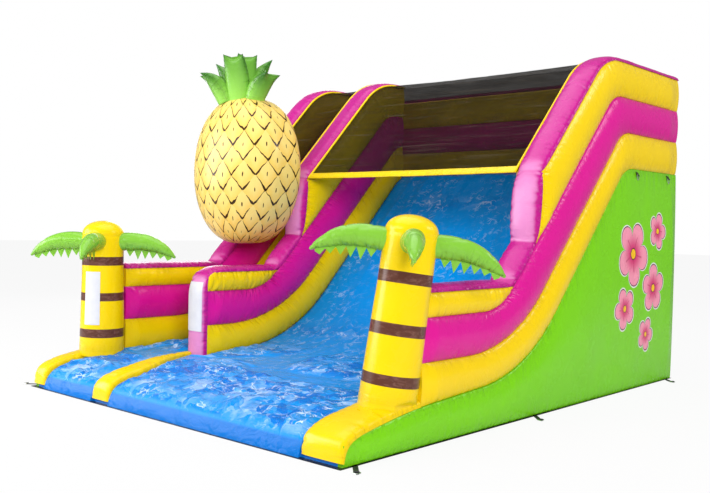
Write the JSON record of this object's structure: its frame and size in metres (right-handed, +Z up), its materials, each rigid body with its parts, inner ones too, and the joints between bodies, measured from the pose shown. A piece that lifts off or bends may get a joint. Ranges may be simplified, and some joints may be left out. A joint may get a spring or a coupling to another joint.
{
  "type": "inflatable slide",
  "caption": "Inflatable slide: wide slide lane and narrow climbing lane between stacked air-tube walls, net canopy, two palm figures and a fruit figure.",
  "frame": {"origin": "on the floor, in the middle of the base rectangle", "axes": "+X across the lanes to the slide lane, +Y from the landing to the back wall, +Z up"},
  "size_m": [4.9599, 5.8289, 3.5172],
  "materials": {
    "pvc_yellow": "glossy PVC-coated fabric",
    "pvc_magenta": "glossy PVC-coated fabric",
    "pvc_green": "glossy PVC-coated fabric",
    "leaf_green": "glossy PVC-coated fabric, printed darker veins",
    "pvc_blue": "PVC-coated fabric under the covers",
    "film_blue": "loose glossy blue cover film",
    "fruit_yellow": "PVC-coated fabric with a printed lattice",
    "mesh_black": "fine dark net with yellow hems",
    "ground_sheet_black": "heavy black sheet and webbing",
    "ring_steel": "plated steel wire"
  },
  "bodies": {
    "slide": {"back_edge_cushion": "pvc_magenta", "back_lower_tube": "pvc_yellow", "back_middle_tube": "pvc_magenta", "back_panel": "pvc_green", "back_upper_tube": "pvc_yellow", "climb_canopy_net": "mesh_black", "climb_cover": "film_blue", "climb_steps": "pvc_yellow", "fruit_body": "fruit_yellow", "fruit_crown": "leaf_green", "ground_sheet": "ground_sheet_black", "inflation_sleeve": "pvc_yellow", "landing_bed": "pvc_blue", "left_edge_cushion": "pvc_magenta", "left_low_tube": "pvc_yellow", "left_lower_tube": "pvc_yellow", "left_middle_tube": "pvc_magenta", "left_nose": "pvc_yellow", "left_palm_column": "pvc_yellow", "left_palm_leaf_1": "leaf_green", "left_palm_leaf_2": "leaf_green", "left_palm_leaf_3": "leaf_green", "left_palm_leaf_4": "leaf_green", "left_side_panel": "pvc_green", "left_upper_tube": "pvc_yellow", "middle_edge_cushion": "pvc_magenta", "middle_low_tube": "pvc_yellow", "middle_lower_tube": "pvc_yellow", "middle_middle_tube": "pvc_magenta", "middle_nose": "pvc_yellow", "middle_upper_tube": "pvc_yellow", "platform_block": "pvc_blue", "platform_mat": "film_blue", "ramp_body": "pvc_blue", "right_edge_cushion": "pvc_magenta", "right_low_tube": "pvc_yellow", "right_lower_tube": "pvc_yellow", "right_middle_tube": "pvc_magenta", "right_nose": "pvc_yellow", "right_palm_column": "pvc_yellow", "right_palm_leaf_1": "leaf_green", "right_palm_leaf_2": "leaf_green", "right_palm_leaf_3": "leaf_green", "right_palm_leaf_4": "leaf_green", "right_side_panel": "pvc_green", "right_upper_tube": "pvc_yellow", "roof_canopy_net": "mesh_black", "slide_canopy_net": "mesh_black", "slide_cover": "film_blue"},
    "right_base_ring_1": {"right_base_ring_1": "ring_steel"},
    "right_base_ring_2": {"right_base_ring_2": "ring_steel"},
    "right_base_ring_3": {"right_base_ring_3": "ring_steel"},
    "right_upper_ring_1": {"right_upper_ring_1": "ring_steel"},
    "right_upper_ring_2": {"right_upper_ring_2": "ring_steel"},
    "left_base_ring_1": {"left_base_ring_1": "ring_steel"},
    "left_base_ring_2": {"left_base_ring_2": "ring_steel"},
    "left_base_ring_3": {"left_base_ring_3": "ring_steel"},
    "left_upper_ring_1": {"left_upper_ring_1": "ring_steel"},
    "left_upper_ring_2": {"left_upper_ring_2": "ring_steel"}
  },
  "joints": [
    {"name": "right_base_ring_1_swing", "type": "hinge", "parent": "slide", "child": "right_base_ring_1", "pos_m": [2.22021, -2.72021, 0.0078], "axis": [-0.7071, -0.7071, 0], "range_deg": [0, 170]},
    {"name": "right_base_ring_2_swing", "type": "hinge", "parent": "slide", "child": "right_base_ring_2", "pos_m": [2.22021, -0.34021, 0.0078], "axis": [-0.7071, -0.7071, 0], "range_deg": [0, 170]},
    {"name": "right_base_ring_3_swing", "type": "hinge", "parent": "slide", "child": "right_base_ring_3", "pos_m": [2.22021, 2.47979, 0.0078], "axis": [-0.7071, -0.7071, 0], "range_deg": [0, 170]},
    {"name": "right_upper_ring_1_swing", "type": "hinge", "parent": "slide", "child": "right_upper_ring_1", "pos_m": [2.11, 1.72, 2.239], "axis": [0, -1, 0], "range_deg": [-5, 150]},
    {"name": "right_upper_ring_2_swing", "type": "hinge", "parent": "slide", "child": "right_upper_ring_2", "pos_m": [2.11, 2.5, 2.239], "axis": [0, -1, 0], "range_deg": [-5, 150]},
    {"name": "left_base_ring_1_swing", "type": "hinge", "parent": "slide", "child": "left_base_ring_1", "pos_m": [-2.22021, -2.72021, 0.0078], "axis": [-0.7071, 0.7071, 0], "range_deg": [0, 170]},
    {"name": "left_base_ring_2_swing", "type": "hinge", "parent": "slide", "child": "left_base_ring_2", "pos_m": [-2.22021, -0.34021, 0.0078], "axis": [-0.7071, 0.7071, 0], "range_deg": [0, 170]},
    {"name": "left_base_ring_3_swing", "type": "hinge", "parent": "slide", "child": "left_base_ring_3", "pos_m": [-2.22021, 2.47979, 0.0078], "axis": [-0.7071, 0.7071, 0], "range_deg": [0, 170]},
    {"name": "left_upper_ring_1_swing", "type": "hinge", "parent": "slide", "child": "left_upper_ring_1", "pos_m": [-2.11, 1.72, 2.239], "axis": [0, 1, 0], "range_deg": [-5, 150]},
    {"name": "left_upper_ring_2_swing", "type": "hinge", "parent": "slide", "child": "left_upper_ring_2", "pos_m": [-2.11, 2.5, 2.239], "axis": [0, 1, 0], "range_deg": [-5, 150]}
  ]
}
